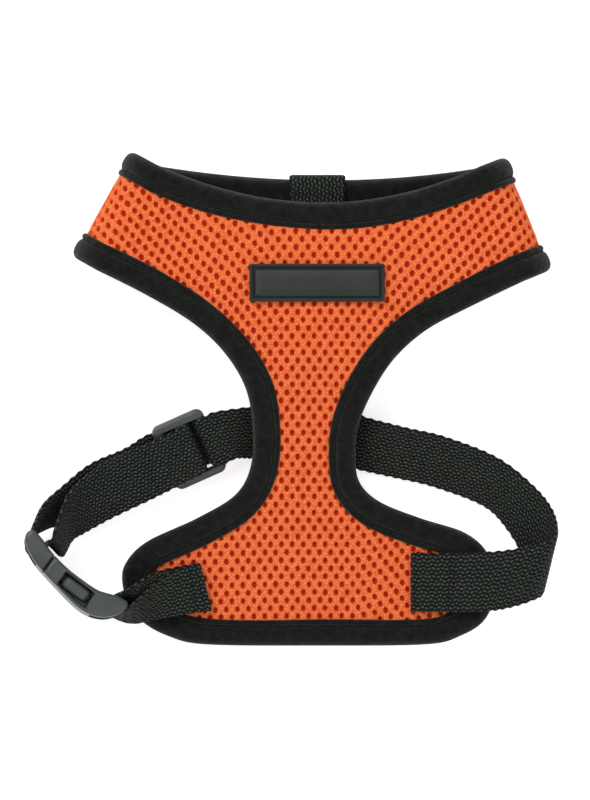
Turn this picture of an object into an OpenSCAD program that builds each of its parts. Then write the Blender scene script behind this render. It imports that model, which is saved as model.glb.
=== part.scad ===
// Soft mesh dog harness, laid flat on its back: chest plate up, neck band folded under,
// girth strap with a tri-glide adjuster and a curved side-release buckle standing on edge.
// X is to the wearer's side, Y is towards the neck opening, Z is up from the surface.

/* [Webbing] */
// Width of the girth webbing
web_w = 19; // [18:0.5:20]
// Thickness of the girth webbing
web_t = 1.4; // [1:0.1:1.5]

/* [Soft body] */
// Thickness of the spacer mesh
mesh_t = 3.5; // [3:0.1:4]
// Thickness of the folded binding over the mesh edge
bind_t = 7; // [6:0.1:7]
// Visible width of the binding
bind_w = 9.4; // [8:0.1:10]
// Height between the folded-under band and the front of the neck ring
fold_h = 16; // [14:0.5:18]

/* [Badge] */
// Length of the blank rubber badge
badge_l = 46.5; // [40:0.5:50]
// Height of the badge
badge_h = 13; // [11:0.5:13]
// Thickness of the badge rim
badge_t = 2.2; // [1.8:0.1:2.6]

/* [Leash ring] */
// Wire diameter of the D-ring
ring_wire = 3; // [2.5:0.1:3]
// Clear width inside the D-ring
ring_in = 20; // [20:0.5:22]

/* [Buckle] */
// Width of the side-release buckle
buckle_w = 28; // [27:0.5:28]
// Radius of the bars that the webbing turns on
bar_r = 1.6; // [1.4:0.1:1.7]

/* [Hidden] */
$fn = 48;

// Heights of the two layers of the neck ring
band_z = 1.6 + bind_t / 2;
front_z = band_z + fold_h;
fold_z = band_z + fold_h / 2;
// The chest plate is level above hinge_y and slopes to the surface below it
hinge_y = 30;
hem_y = -84.9;
slope = atan((front_z - bind_t / 2 - 0.2) / (hinge_y - hem_y));

// Ends of the two fold lines, neck end first
left_fold = [[-46.6, 80.9], [-67, 44.5]];
right_fold = [[63.9, 80.1], [79.8, 41]];

// Points that the free edge of the front passes through, from left fold to right fold
edge_points = [
    left_fold[1], [-51, 36.5], [-35, 27], [-24, 17], [-16.5, 5], [-13.8, -8], [-14.2, -22],
    [-19.5, -32.5], [-33, -40.8], [-50.5, -49], [-58, -57], [-58.6, -64.5], [-56.2, -71.3],
    [-51.6, -76.9], [-43, -81.6], [-30, -84.5], [8, hem_y], [46, -84.5], [58, -81.6],
    [66.5, -76], [70, -66], [68, -54], [60, -46], [44, -40.7], [30, -35], [23, -28], [21.8, -18], [23, -8],
    [28, 3.5], [35.3, 14.5], [46, 24], [60, 31.5], right_fold[1]
];
front_neck_mid = [9.5, 68];
back_neck_mid = [9.5, 76];
back_low_mid = [9.5, 36];

back_x = 8.6;
keeper_y = 27;
ring_z = 2.5;
ring_tilt = 3.3;
badge_at = [8.5, 40.3];
plate_top = front_z + mesh_t / 2;

adjuster_at = [-35.7, -16.9, 8.8];
adjuster_heading = 204;
adjuster_roll = -22;
buckle_at = [-83.9, -56.5, 14.8];
buckle_heading = -36;
// The buckle stands on edge and leans a little outwards at its foot
buckle_lean = -4;
// Middles of the bars that the webbing turns on, in the buckle's own frame
plug_bar = [-7.6, 2.05];
socket_bar = [26.2, 0.6];
// The closed buckle's curved side profile, anticlockwise from the socket's tail
buckle_profile = [
    [30.4, 2.8], [30.1, 4.3], [28.8, 4.9], [25, 4.2], [21.7, 3], [18.5, 2.1], [12.8, 1.9],
    [6.5, 2.1], [-0.7, 3.2], [-6.2, 5], [-10.2, 5.9], [-11.7, 5.3], [-12.3, 3.5], [-11.3, 1.3],
    [-8.4, -0.9], [-4.4, -2.7], [-0.4, -3.8], [7.3, -5.3], [11.7, -6.1], [16.2, -6.7],
    [20, -6.6], [23.5, -5.7], [26.4, -4.1], [28.6, -1.8], [29.9, 0.6], [30.4, 2.8]
];

// Stations of each run of webbing: one point on each edge of the tape
girth_stations = [
    [[-22, -4.2, 11.4], [-21, -21.2, 3.4]], [[-14.6, -2.4, 8.8], [-13.6, -20.2, 2.6]],
    [[-8.2, -1.4, 5.4], [-7.6, -19.6, 2.6]], [[-2.6, -0.8, 2.9], [-2.4, -19.3, 2.6]],
    [[5, -0.6, 2.6], [5, -19.4, 2.6]], [[13, -1.6, 2.6], [12, -20.4, 2.6]],
    [[19.2, -3.4, 3], [17.6, -21.9, 2.6]], [[26.2, -6.2, 6.6], [22.6, -24, 2.4]],
    [[39.8, -9.7, 9.5], [35.7, -26.9, 2.2]], [[52.9, -12.8, 10], [48.8, -30, 2.2]],
    [[70.9, -20, 10], [66, -36.6, 2.2]], [[83.6, -30, 8.5], [74.3, -44.8, 2.2]],
    [[89.8, -37.9, 8.2], [81.2, -56.6, 2.6]], [[91.3, -44.8, 11.5], [86.2, -66.2, 8]],
    [[88.8, -48.6, 16], [81.9, -69.3, 14]], [[79.8, -50.7, 17.4], [74.3, -71.7, 15]],
    [[70.6, -52.1, 15.8], [67.4, -72.8, 12.8]], [[61.2, -52.6, 14.9], [58.4, -73.1, 11.4]],
    [[50.9, -52.8, 13.1], [50.2, -73.1, 9.2]], [[40.9, -52.8, 11.2], [40.9, -73.1, 8.2]]
];
run_stations = [
    [[-53.2, -15, 9.4], [-45.4, -32.6, 3.4]], [[-58.1, -16.9, 9], [-51.2, -34.5, 3]],
    [[-69.8, -22.1, 8.5], [-64.3, -39.7, 2.5]], [[-79.5, -30, 13], [-74, -44.8, 2.5]],
    [[-85.6, -35.9, 20], [-82, -43.8, 3.5]], [[-88.9, -43.4, 24.1], [-87.7, -45.7, 5.4]],
    [[-89.5, -45.9, 24.3], [-90, -47, 5.4]]
];
return_stations = [
    [[-56.7, -17.9, 12.6], [-49.1, -34.5, 6.6]], [[-67.8, -23.4, 12.2], [-62.2, -40.7, 5.6]],
    [[-76.7, -31.8, 16.5], [-71.9, -45.9, 5]], [[-80.2, -40.2, 22], [-76.2, -48.6, 5]],
    [[-82, -46, 24.1], [-79.8, -52, 5.6]], [[-83.3, -48.6, 24.3], [-82.6, -51, 5.4]],
    [[-84.1, -49, 24.3], [-84.4, -50, 5.4]]
];
tab_outer_stations = [
    [[-31.9, -56.2, 12.3], [-27.8, -72.6, 9.8]], [[-40.2, -58.6, 12.9], [-37.4, -74, 11]],
    [[-48.2, -63.6, 16.5], [-46.4, -75.5, 11.6]], [[-54, -69.3, 22], [-53.8, -76.9, 10.2]],
    [[-57.4, -71.7, 23.8], [-58.8, -76.2, 7]], [[-60, -72.7, 24.1], [-60.5, -73.6, 5.4]]
];
tab_inner_stations = [
    [[-31.9, -56.2, 10.7], [-27.8, -72.6, 8.3]], [[-40.2, -57.6, 11.4], [-37.4, -73, 9.5]],
    [[-48.4, -59.9, 15.6], [-46.4, -73, 10.4]], [[-54.2, -63.4, 21.8], [-53.8, -73.6, 10.9]],
    [[-58.4, -66, 23.8], [-59.3, -69.2, 8]], [[-61.2, -67.2, 24.2], [-61.6, -68.2, 5.4]]
];

// ---- helper functions ----

// Point at t on the smooth curve through four neighbours
function knot(a, b, c, d, t) =
    0.5 * (2 * b + (c - a) * t + (2 * a - 5 * b + 4 * c - d) * t * t
           + (3 * b - a - 3 * c + d) * t * t * t);
// Smooth open curve through a list of points, with n steps between each two
function through(p, n) = let(last = len(p) - 1) concat(
    [for (i = [0:last - 1], k = [0:n - 1])
        knot(p[max(i - 1, 0)], p[i], p[i + 1], p[min(i + 2, last)], k / n)],
    [p[last]]);
// Curve from a to c whose middle is at m, in n steps
function arch(a, m, c, n) = let(q = 2 * m - (a + c) / 2)
    [for (i = [0:n]) let(t = i / n) (1 - t) * (1 - t) * a + 2 * t * (1 - t) * q + t * t * c];
function left_of(v) = [-v.y, v.x] / norm(v);
// A curve moved d to its left
function beside(p, d) = let(last = len(p) - 1)
    [for (i = [0:last]) p[i] + d * left_of(p[min(i + 1, last)] - p[max(i - 1, 0)])];
function reversed(p) = [for (i = [len(p) - 1:-1:0]) p[i]];
function strip(a, b) = concat(a, reversed(b));
function unit(v) = v / norm(v);
// Slab outline between two depths of a curve
function border(p, d0, d1) = strip(beside(p, d0), beside(p, d1));

// Region between the two fold lines, run on past both ends
function past(line, from, by) =
    line[from] + by * unit(line[from] - line[1 - from]);
between_folds = [
    past(left_fold, 0, 20), past(left_fold, 1, 165), past(right_fold, 1, 165),
    past(right_fold, 0, 20)
];
// Seam left between a rolled fold and the flat layers that it joins
fold_seam = 0.04;

edge = through(edge_points, 4);
front_neck = arch(left_fold[0], front_neck_mid, right_fold[0], 20);
back_neck = arch(left_fold[0], back_neck_mid, right_fold[0], 16);
back_low = arch(left_fold[1], back_low_mid, right_fold[1], 16);

// ---- shared shapes ----

// A flat outline at the height of the front layer, sloping below the hinge line
module on_front(outline, t, lift = 0) {
    far = 200;
    unrolled = [for (p = outline) [p.x, (p.y - hinge_y) / cos(slope)]];
    intersection() {
        translate([0, 0, front_z - t / 2 + lift]) linear_extrude(t) polygon(outline);
        translate([-far, hinge_y, 0]) cube([2 * far, far, far]);
        linear_extrude(far) polygon(between_folds);
    }
    translate([0, hinge_y, front_z]) rotate([slope, 0, 0])
        translate([0, 0, lift - t / 2])
            intersection() {
                linear_extrude(t) polygon(unrolled);
                translate([-far, -far, -far]) cube([2 * far, far, 2 * far]);
            }
}

// A flat outline in the folded-under band
module on_band(outline, t) {
    intersection() {
        translate([0, 0, band_z - t / 2]) linear_extrude(t) polygon(outline);
        linear_extrude(3 * band_z) polygon(between_folds);
    }
}

// Half tube that joins the two layers along a fold line, from one distance to another
module fold_roll(line, side, t, from, to) {
    a = side > 0 ? line[0] : line[1];
    b = side > 0 ? line[1] : line[0];
    length = norm(b - a);
    low = side > 0 ? from : length - to;
    high = side > 0 ? to : length - from;
    translate([a.x, a.y, fold_z]) rotate([0, 0, atan2(b.y - a.y, b.x - a.x)])
        translate([0, fold_seam, 0]) rotate([0, 90, 0]) rotate_extrude(angle = 180)
            translate([fold_h / 2 - t / 2, low]) square([t, high - low]);
}

// Webbing through stations that give a point on each of its edges
module ribbon(stations, t, steps = 3) {
    e = through([for (s = stations) s[0]], steps);
    f = through([for (s = stations) s[1]], steps);
    last = len(e) - 1;
    rings = [for (i = [0:last]) let(
        run = (e[min(i + 1, last)] + f[min(i + 1, last)]) - (e[max(i - 1, 0)] + f[max(i - 1, 0)]),
        up = unit(cross(run, f[i] - e[i])) * t / 2)
        [e[i] + up, f[i] + up, f[i] - up, e[i] - up]];
    points = [for (r = rings, p = r) p];
    sides = [for (i = [0:last - 1], k = [0:3]) let(a = 4 * i + k, b = 4 * i + (k + 1) % 4)
        each [[a, b, a + 4], [b, b + 4, a + 4]]];
    caps = [[3, 2, 1, 0], [for (k = [0:3]) 4 * last + k]];
    polyhedron(points, concat(sides, caps), convexity = 4);
}

// Flat bar of webbing bent along a path in the Y-Z plane, centred on X
module bent_strip(path, width, t) {
    rotate([90, 0, 90]) translate([0, 0, -width / 2])
        linear_extrude(width) polygon(border(path, -t / 2, t / 2));
}

// Plate with round corners, exact in its bores
module round_plate(size, r, h) {
    linear_extrude(h) {
        square([size.x - 2 * r, size.y], center = true);
        square([size.x, size.y - 2 * r], center = true);
        for (x = [-1, 1], y = [-1, 1])
            translate([x * (size.x / 2 - r), y * (size.y / 2 - r)]) circle(r);
    }
}

// A rectangle of thread around a sewn area, as a raised outline
module stitch_box(size, line = 0.6, h = 0.5) {
    linear_extrude(h) difference() {
        square(size, center = true);
        square([size.x - 2 * line, size.y - 2 * line], center = true);
    }
}

// ---- soft body ----

module chest_panel() color("orangered") {
    in = bind_w;
    on_front(strip(beside(front_neck, -in), beside(edge, in)), mesh_t);
    on_band(strip(beside(back_neck, -in), beside(back_low, in)), mesh_t);
    fold_roll(left_fold, -1, mesh_t, in, norm(left_fold[1] - left_fold[0]) - in);
    fold_roll(right_fold, 1, mesh_t, in, norm(right_fold[1] - right_fold[0]) - in);
}

module neck_binding() color([0.06, 0.06, 0.06]) {
    on_front(border(front_neck, 0, -bind_w), bind_t);
    on_band(border(back_neck, 0, -bind_w), bind_t);
    fold_roll(left_fold, -1, bind_t, 0, bind_w);
    fold_roll(right_fold, 1, bind_t, 0, bind_w);
}

module outer_binding() color([0.06, 0.06, 0.06]) {
    left_l = norm(left_fold[1] - left_fold[0]);
    right_l = norm(right_fold[1] - right_fold[0]);
    on_front(border(edge, 0, bind_w), bind_t);
    on_band(border(back_low, 0, bind_w), bind_t);
    fold_roll(left_fold, -1, bind_t, left_l - bind_w, left_l);
    fold_roll(right_fold, 1, bind_t, right_l - bind_w, right_l);
}

module binding_stitching() color([0.1, 0.1, 0.1]) {
    thread = 0.4;
    seam = bind_w - 1.6;
    lift = bind_t / 2 + thread / 2;
    on_front(border(front_neck, -seam, -seam - thread), thread, lift);
    on_front(border(edge, seam, seam + thread), thread, lift);
}

module badge() color([0.12, 0.13, 0.12]) {
    rim = 1.2;
    translate([badge_at.x, badge_at.y, plate_top]) difference() {
        round_plate([badge_l, badge_h], 1.6, badge_t);
        translate([0, 0, badge_t - 0.7])
            round_plate([badge_l - 2 * rim, badge_h - 2 * rim], 1, badge_t);
    }
}

// ---- back hardware, on the underside ----

module back_strip() color([0.12, 0.13, 0.12]) {
    low = web_t / 2;
    over_band = band_z + bind_t / 2 + web_t / 2 + 0.1;
    over_keeper = 5 + web_t / 2;
    hem = back_neck_mid.y + web_t / 2 + 1.05;
    translate([back_x, 0, 0]) bent_strip([
        [62, over_band], [hem - 1.6, over_band], [hem - 0.3, over_band - 0.9],
        [hem, over_band - 2.4], [hem, low + 2], [hem - 0.5, low + 0.6], [hem - 1.8, low],
        [36.6, low], [35.4, low + 0.3], [34, low + 1.6], [32.4, over_keeper - 0.9],
        [30.8, over_keeper], [7.4, over_keeper], [5.8, over_keeper - 0.8], [3.4, low + 0.5],
        [1.8, low], [-21.6, low], [-23, low + 0.5], [-23.6, 2.6], [-23, 4.2], [-21.4, 4.6],
        [0.4, 4.6], [1.6, 4.2], [2.3, 2.4]
    ], web_w, web_t);
}

module back_strip_stitching() color([0.2, 0.2, 0.2]) {
    sewn_z = band_z + bind_t / 2 + web_t + 0.1;
    translate([back_x, 68.5, sewn_z]) stitch_box([web_w - 3, 11]);
}

module d_ring_keeper() color([0.12, 0.13, 0.12]) {
    wrap_in = ring_wire / 2 + 0.06;
    wrap_out = ring_wire / 2 + 0.96;
    translate([back_x, keeper_y, ring_z]) rotate([90, 0, 90])
        translate([0, 0, -(ring_in - 2) / 2]) linear_extrude(ring_in - 2) difference() {
            union() {
                circle(wrap_out);
                polygon([[0, wrap_out], [3.5, wrap_out], [3.5, 1.4], [2.8, 0.2], [0, -wrap_out]]);
            }
            circle(wrap_in);
        }
}

module d_ring() color("silver") {
    wire = ring_wire / 2;
    half = ring_in / 2 + wire;
    leg = 4;
    translate([back_x, keeper_y, ring_z]) rotate([ring_tilt, 0, 0]) {
        translate([-half, 0, 0]) rotate([0, 90, 0]) cylinder(r = wire, h = 2 * half);
        for (x = [-half, half]) translate([x, 0, 0]) {
            sphere(wire);
            rotate([90, 0, 0]) cylinder(r = wire, h = leg);
        }
        translate([0, -leg, 0]) rotate([0, 0, 180])
            rotate_extrude(angle = 180) translate([half, 0]) circle(wire);
    }
}

// ---- girth strap ----

module girth_strap() color([0.15, 0.17, 0.16]) {
    ribbon(girth_stations, web_t);
}

module right_patch_stitching() color([0.2, 0.22, 0.2]) {
    patch_y = -62.9;
    // Each row of thread: its X, and the height of the webbing's foot there
    for (row = [[42.4, mesh_t / 2 + 0.5], [54.4, bind_t / 2 + 1.1]])
        translate([row[0], hinge_y, front_z]) rotate([slope, 0, 0])
            translate([0, (patch_y - hinge_y) / cos(slope), row[1] + web_t])
                linear_extrude(0.5) square([0.6, web_w - 2], center = true);
}

module buckle_run() color([0.15, 0.17, 0.16]) {
    ribbon(run_stations, web_t);
    ribbon(return_stations, web_t);
}

// Turn of webbing round one of the buckle's bars, between two angles
module bar_turn(at, from, to) {
    translate([at.x, at.y, -web_w / 2]) rotate([0, 0, from])
        rotate_extrude(angle = to - from)
            translate([bar_r + 0.3, 0]) square([web_t, web_w]);
}

// The strap's loop round the plug's bar
module plug_loop() color([0.15, 0.17, 0.16]) in_buckle_frame() {
    bar_turn(plug_bar, 165, 360);
    translate([plug_bar.x + bar_r + 0.3, plug_bar.y + fold_seam, -web_w / 2])
        cube([web_t, 1.4, web_w]);
}

module in_adjuster_frame() {
    translate(adjuster_at) rotate([0, 0, adjuster_heading]) rotate([adjuster_roll, 0, 0])
        children();
}

adj_bar = 3;
adj_gap = 5;
adj_t = 3.2;
adj_l = 3 * adj_bar + 2 * adj_gap;
adj_w = web_w + 6;

module adjuster() color([0.2, 0.21, 0.2]) in_adjuster_frame() {
    rail = 2.6;
    difference() {
        translate([0, 0, -adj_t / 2]) round_plate([adj_l, adj_w], 2.4, adj_t);
        for (side = [-1, 1])
            translate([side * (adj_bar + adj_gap) / 2, 0, 0])
                cube([adj_gap, adj_w - 2 * rail, 2 * adj_t], center = true);
    }
}

// Sewn end of the strap, folded round the adjuster's centre bar
module adjuster_fold() color([0.15, 0.17, 0.16]) in_adjuster_frame() {
    top = adj_t / 2 + web_t / 2 + 0.1;
    side = adj_bar / 2 + web_t / 2 + 0.1;
    rotate([0, 0, 180]) rotate([90, 0, 0]) translate([0, 0, -web_w / 2]) linear_extrude(web_w)
        polygon(border([
            [-12, top + 0.9], [-8, top + 0.6], [side - 0.8, top + 0.1], [side + 0.08, top - 0.8],
            [side + 0.08, 0.8 - top], [side - 0.8, -top - 0.1], [-side, -top - 0.05]
        ], -web_t / 2, web_t / 2));
}

// Running strap where it threads the adjuster
module adjuster_weave() color([0.15, 0.17, 0.16]) in_adjuster_frame() {
    top = adj_t / 2 + web_t / 2 + 0.1;
    under = -top - web_t - 0.3;
    rotate([0, 0, 180]) rotate([90, 0, 0]) translate([0, 0, -web_w / 2]) linear_extrude(web_w)
        polygon(border([
            [10.5, top + 0.1], [6.6, top + 0.1], [5.5, top - 0.6], [5, top - 2], [4.6, -1],
            [3.8, under + 0.8], [2.2, under], [-8, under], [-12, under + 0.4]
        ], -web_t / 2, web_t / 2));
}

// ---- buckle, drawn in a frame whose X is the release axis ----

module in_buckle_frame() {
    translate(buckle_at) rotate([0, 0, buckle_heading]) rotate([buckle_lean, 0, 0]) children();
}

// Curved profile of the closed buckle between two stations, as wide as w
module profile_body(x0, x1, w) {
    translate([0, 0, -w / 2]) linear_extrude(w) intersection() {
        polygon(through(buckle_profile, 3));
        translate([x0, -12]) square([x1 - x0, 30]);
    }
}

tongue_y = -2.9;
tongue_t = 3.2;
slot_half = web_w / 2 + 0.8;
window_z = 8.4;
window_x = [6.6, 19];
// Lowest and highest point of the side windows that the buttons stand in
window_y = [-4.6, 0.6];

// Round bar across the buckle that the webbing turns on
module web_bar(at) {
    translate([at.x, at.y, -slot_half - 1]) cylinder(r = bar_r, h = 2 * slot_half + 2);
}

module tab_slot(x0, x1) {
    translate([x0, -10, -slot_half]) cube([x1 - x0, 30, 2 * slot_half]);
}

module buckle_socket() color([0.2, 0.21, 0.2]) in_buckle_frame() {
    mouth = 11.4;
    play = 0.3;
    cavity_y = tongue_y - play;
    cavity_t = tongue_t + 2 * play;
    window_l = window_x[1] - window_x[0];
    difference() {
        profile_body(0.1, 32, buckle_w);
        tab_slot(21.6, 40);
        translate([-1, cavity_y, -mouth]) cube([7.9, cavity_t, 2 * mouth]);
        translate([-1, cavity_y, -window_z]) cube([20.5, cavity_t, 2 * window_z]);
        for (low = [window_z, -window_z - 20])
            translate([window_x[0], window_y[0], low])
                cube([window_l, window_y[1] - window_y[0], 20]);
    }
    web_bar(socket_bar);
}

module buckle_plug() color([0.2, 0.21, 0.2]) in_buckle_frame() {
    difference() {
        profile_body(-14, -0.1, buckle_w);
        tab_slot(-20, -3.4);
    }
    web_bar(plug_bar);
    translate([-1, tongue_y, -2.2]) cube([16, tongue_t, 4.4]);
}

// One flexing arm with its thumb button, on the side given by +1 or -1
module latch_arm(side) {
    arm_z = [6.7, 8.9];
    // The arm bends at its round root
    root_x = 1.4;
    button_x = [7, 18.6];
    button_l = button_x[1] - button_x[0];
    crown_r = 6.2;
    crown_z = 7.9;
    mirror([0, 0, side > 0 ? 0 : 1]) {
        translate([root_x, tongue_y, arm_z[0]])
            cube([button_x[1] - root_x, tongue_t, arm_z[1] - arm_z[0]]);
        translate([root_x, tongue_y, (arm_z[0] + arm_z[1]) / 2])
            rotate([-90, 0, 0]) cylinder(r = 1.2, h = tongue_t);
        intersection() {
            translate([button_x[0], window_y[0] + 0.3, window_z + 0.2])
                cube([button_l, window_y[1] - window_y[0] - 0.6, 10]);
            union() {
                translate([button_x[0], -10, arm_z[0]]) cube([button_l, 20, 4.2]);
                translate([button_x[0] + button_l / 2, -10, crown_z])
                    rotate([-90, 0, 0]) cylinder(r = crown_r, h = 20, $fn = 96);
            }
        }
    }
}

module latch_arm_upper() color([0.22, 0.23, 0.22]) in_buckle_frame() {
    latch_arm(1);
}

module latch_arm_lower() color([0.22, 0.23, 0.22]) in_buckle_frame() {
    latch_arm(-1);
}

// Doubled tab of webbing from the plate's left corner round the socket's bar
module buckle_tab() color([0.15, 0.17, 0.16]) {
    ribbon(tab_outer_stations, web_t);
    ribbon(tab_inner_stations, web_t);
    in_buckle_frame() bar_turn(socket_bar, 138, 322);
}

module left_patch_stitching() color([0.2, 0.22, 0.2]) {
    at_y = -64.4;
    translate([-31.6, hinge_y, front_z]) rotate([slope, 0, 0])
        translate([0, (at_y - hinge_y) / cos(slope), mesh_t / 2 + 2 * web_t + 0.75])
            rotate([0, 0, 14]) linear_extrude(0.5) square([0.6, 15], center = true);
}

chest_panel();
neck_binding();
outer_binding();
binding_stitching();
badge();
back_strip();
back_strip_stitching();
d_ring_keeper();
d_ring();
girth_strap();
right_patch_stitching();
buckle_run();
adjuster();
adjuster_fold();
adjuster_weave();
plug_loop();
buckle_tab();
left_patch_stitching();
buckle_socket();
buckle_plug();
latch_arm_upper();
latch_arm_lower();
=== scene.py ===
"""Soft mesh dog harness laid flat on its back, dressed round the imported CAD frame.

Lengths in this file are millimetres until a mesh is made, and MM turns them into metres.
"""

import math

import bpy
import numpy as np
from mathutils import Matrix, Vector, geometry


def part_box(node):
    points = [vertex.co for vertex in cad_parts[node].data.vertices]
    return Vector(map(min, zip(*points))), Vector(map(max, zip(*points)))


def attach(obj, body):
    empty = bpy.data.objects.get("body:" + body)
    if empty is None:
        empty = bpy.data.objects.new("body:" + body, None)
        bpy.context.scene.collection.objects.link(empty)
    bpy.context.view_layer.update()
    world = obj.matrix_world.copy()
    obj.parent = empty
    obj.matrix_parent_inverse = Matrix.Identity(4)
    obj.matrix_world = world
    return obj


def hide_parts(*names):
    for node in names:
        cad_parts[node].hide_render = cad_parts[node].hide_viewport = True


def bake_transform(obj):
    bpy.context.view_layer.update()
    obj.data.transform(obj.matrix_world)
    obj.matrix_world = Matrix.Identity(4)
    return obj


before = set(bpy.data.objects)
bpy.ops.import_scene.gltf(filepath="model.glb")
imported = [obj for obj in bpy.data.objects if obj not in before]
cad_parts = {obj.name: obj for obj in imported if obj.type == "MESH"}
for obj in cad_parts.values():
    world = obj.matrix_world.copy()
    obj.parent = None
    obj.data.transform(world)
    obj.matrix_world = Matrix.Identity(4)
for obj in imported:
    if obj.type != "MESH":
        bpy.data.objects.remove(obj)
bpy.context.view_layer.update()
MM = 0.001


def corner(node, end):
    """Lowest (0) or highest (1) corner of a CAD node, in millimetres."""
    return np.array(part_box(node)[end]) / MM


# ---- sizes shared with the CAD
WEB_W, WEB_T = 19.0, 1.4
MESH_T, BIND_T = 3.5, 7.0
FOLD_H = 16.0
FOLD_R = FOLD_H / 2
BAND_Z = corner("neck_binding", 0)[2] + BIND_T / 2
FRONT_Z = BAND_Z + FOLD_H
FOLD_Z = BAND_Z + FOLD_R
HINGE_Y, HEM_Y = 30.0, -84.9
SLOPE = (FRONT_Z - BIND_T / 2 - 0.2) / (HINGE_Y - HEM_Y)
MIDDLE_X = 9.5
BACK_X = 8.6

LEFT_FOLD = np.array([[-46.6, 80.9], [-67.0, 44.5]])
RIGHT_FOLD = np.array([[63.9, 80.1], [79.8, 41.0]])
EDGE_POINTS = [
    (-67, 44.5), (-51, 36.5), (-35, 27), (-24, 17), (-16.5, 5), (-13.8, -8), (-14.2, -22),
    (-19.5, -32.5), (-33, -40.8), (-50.5, -49), (-58, -57), (-58.6, -64.5), (-56.2, -71.3),
    (-51.6, -76.9), (-43, -81.6), (-30, -84.5), (8, HEM_Y), (46, -84.5), (58, -81.6),
    (66.5, -76), (70, -66), (68, -54), (60, -46), (44, -40.7), (30, -35), (23, -28),
    (21.8, -18), (23, -8), (28, 3.5), (35.3, 14.5), (46, 24), (60, 31.5), (79.8, 41),
]
FRONT_NECK_MID, BACK_NECK_MID, BACK_LOW_MID = (9.5, 68), (9.5, 76), (9.5, 36)

# Where the lattice of holes in the spacer mesh repeats, and the size of a hole
PITCH_U, PITCH_V = 3.79, 2.76
HOLE_U, HOLE_V, HOLE_DEPTH, HOLE_SIDES = 0.84, 1.14, 1.2, 10
# Nearest that a hole's middle comes to a binding's outer edge
HOLE_MARGIN = 8.5
# The webbing's weave: pitch of its rows, length and swing of their zigzag, length of a float
PICK, WAVE, SWING, DASH = 1.3, 3.1, 0.65, 1.5
# How far the mesh runs under the bindings, measured from a binding's outer edge
TUCK = 3.0
# Half the mesh's thickness at distances in from that edge: pressed flat under the stitching
INSETS, HALVES = (TUCK, 7.3, 9.6, 12), (0.8, 0.95, 1.5, MESH_T / 2)
# The bindings' stitching: distance in, height above the cloth's middle and length of a stitch
GROOVE_IN, GROOVE_H, STITCH = 7.2, 2.06, 3.0
# Spacing of the points along the harness's edges
EDGE_STEP = 0.8
# Faces of mouldings above this area, in square metres, are shaded flat
FLAT_AREA = 5e-6
FLOOR_GLOW, SKY_GLOW = 0.72, 0.42


# ---- curves
def through(points, steps):
    """Smooth open curve through points, with a number of steps between each two."""
    p = np.array(points, float)
    last = len(p) - 1
    out = []
    for i in range(last):
        a, b, c, d = p[max(i - 1, 0)], p[i], p[i + 1], p[min(i + 2, last)]
        for k in range(steps):
            t = k / steps
            out.append(
                0.5 * (2 * b + (c - a) * t + (2 * a - 5 * b + 4 * c - d) * t**2
                       + (3 * b - a - 3 * c + d) * t**3)
            )
    out.append(p[last])
    return np.array(out)


def arch(a, m, c, steps):
    """Parabola from a to c whose middle is at m."""
    a, m, c = (np.array(v, float) for v in (a, m, c))
    q = 2 * m - (a + c) / 2
    t = np.linspace(0, 1, steps + 1)[:, None]
    return (1 - t) ** 2 * a + 2 * t * (1 - t) * q + t**2 * c


def unit(v):
    v = np.asarray(v, float)
    return v / np.maximum(np.linalg.norm(v, axis=-1, keepdims=True), 1e-9)


def left_of(p):
    """Unit vectors to the left of a plane curve at each of its points."""
    t = unit(np.gradient(p, axis=0))
    return np.stack([-t[:, 1], t[:, 0]], axis=1)


def beside(p, d):
    return p + d * left_of(p)


def run_length(points):
    """Distance along a line of points up to each of them."""
    return np.concatenate([[0], np.cumsum(np.linalg.norm(np.diff(points, axis=0), axis=1))])


def evenly(points, step):
    """The same curve with its points a constant distance apart."""
    length = run_length(points[:, :3])
    s = np.linspace(0, length[-1], max(int(length[-1] / step), 2) + 1)
    return np.stack([np.interp(s, length, points[:, k]) for k in range(points.shape[1])], axis=1)


def smoothstep(x, low, high):
    t = np.clip((x - low) / (high - low), 0, 1)
    return t * t * (3 - 2 * t)


EDGE = evenly(through(EDGE_POINTS, 10), EDGE_STEP)
FRONT_NECK = evenly(arch(LEFT_FOLD[0], FRONT_NECK_MID, RIGHT_FOLD[0], 80), EDGE_STEP)
BACK_NECK = evenly(arch(LEFT_FOLD[0], BACK_NECK_MID, RIGHT_FOLD[0], 80), EDGE_STEP)
BACK_LOW = evenly(arch(LEFT_FOLD[1], BACK_LOW_MID, RIGHT_FOLD[1], 80), EDGE_STEP)


# ---- the folded sheet
class Fold:
    """One of the two lines that the neck ring is folded round."""

    def __init__(self, line, side):
        self.foot = line[1]
        self.along = unit(line[0] - line[1])
        self.out = side * np.array([self.along[1], -self.along[0]])

    def split(self, p):
        """Distance along the fold line, and distance outside it."""
        return (p - self.foot) @ self.along, (p - self.foot) @ self.out

    def unroll(self, p):
        """Where a point of the folded-under band lies in the flat sheet."""
        t, d = self.split(p)
        return self.foot + t[:, None] * self.along + (math.pi * FOLD_R - d)[:, None] * self.out


LEFT, RIGHT = Fold(LEFT_FOLD, -1), Fold(RIGHT_FOLD, 1)


def front_height(x, y):
    """Height of the front layer: level at the chest, easing down to the hem, slack at the neck."""
    ease = 7.0
    drop = SLOPE * ease * np.logaddexp(0, (HINGE_Y - y) / ease)
    across = (x - MIDDLE_X) / 34.0
    slack = 3.2 * np.exp(-across**2) * smoothstep(y, 30, 72)
    quilt = 0.35 * np.sin(x / 13 + 1) * np.sin(y / 17)
    return FRONT_Z - drop - slack + quilt


def front_normal(x, y):
    e = 0.5
    gx = (front_height(x + e, y) - front_height(x - e, y)) / (2 * e)
    gy = (front_height(x, y + e) - front_height(x, y - e)) / (2 * e)
    return unit(np.stack([-gx, -gy, np.ones_like(gx)], axis=-1))


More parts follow.
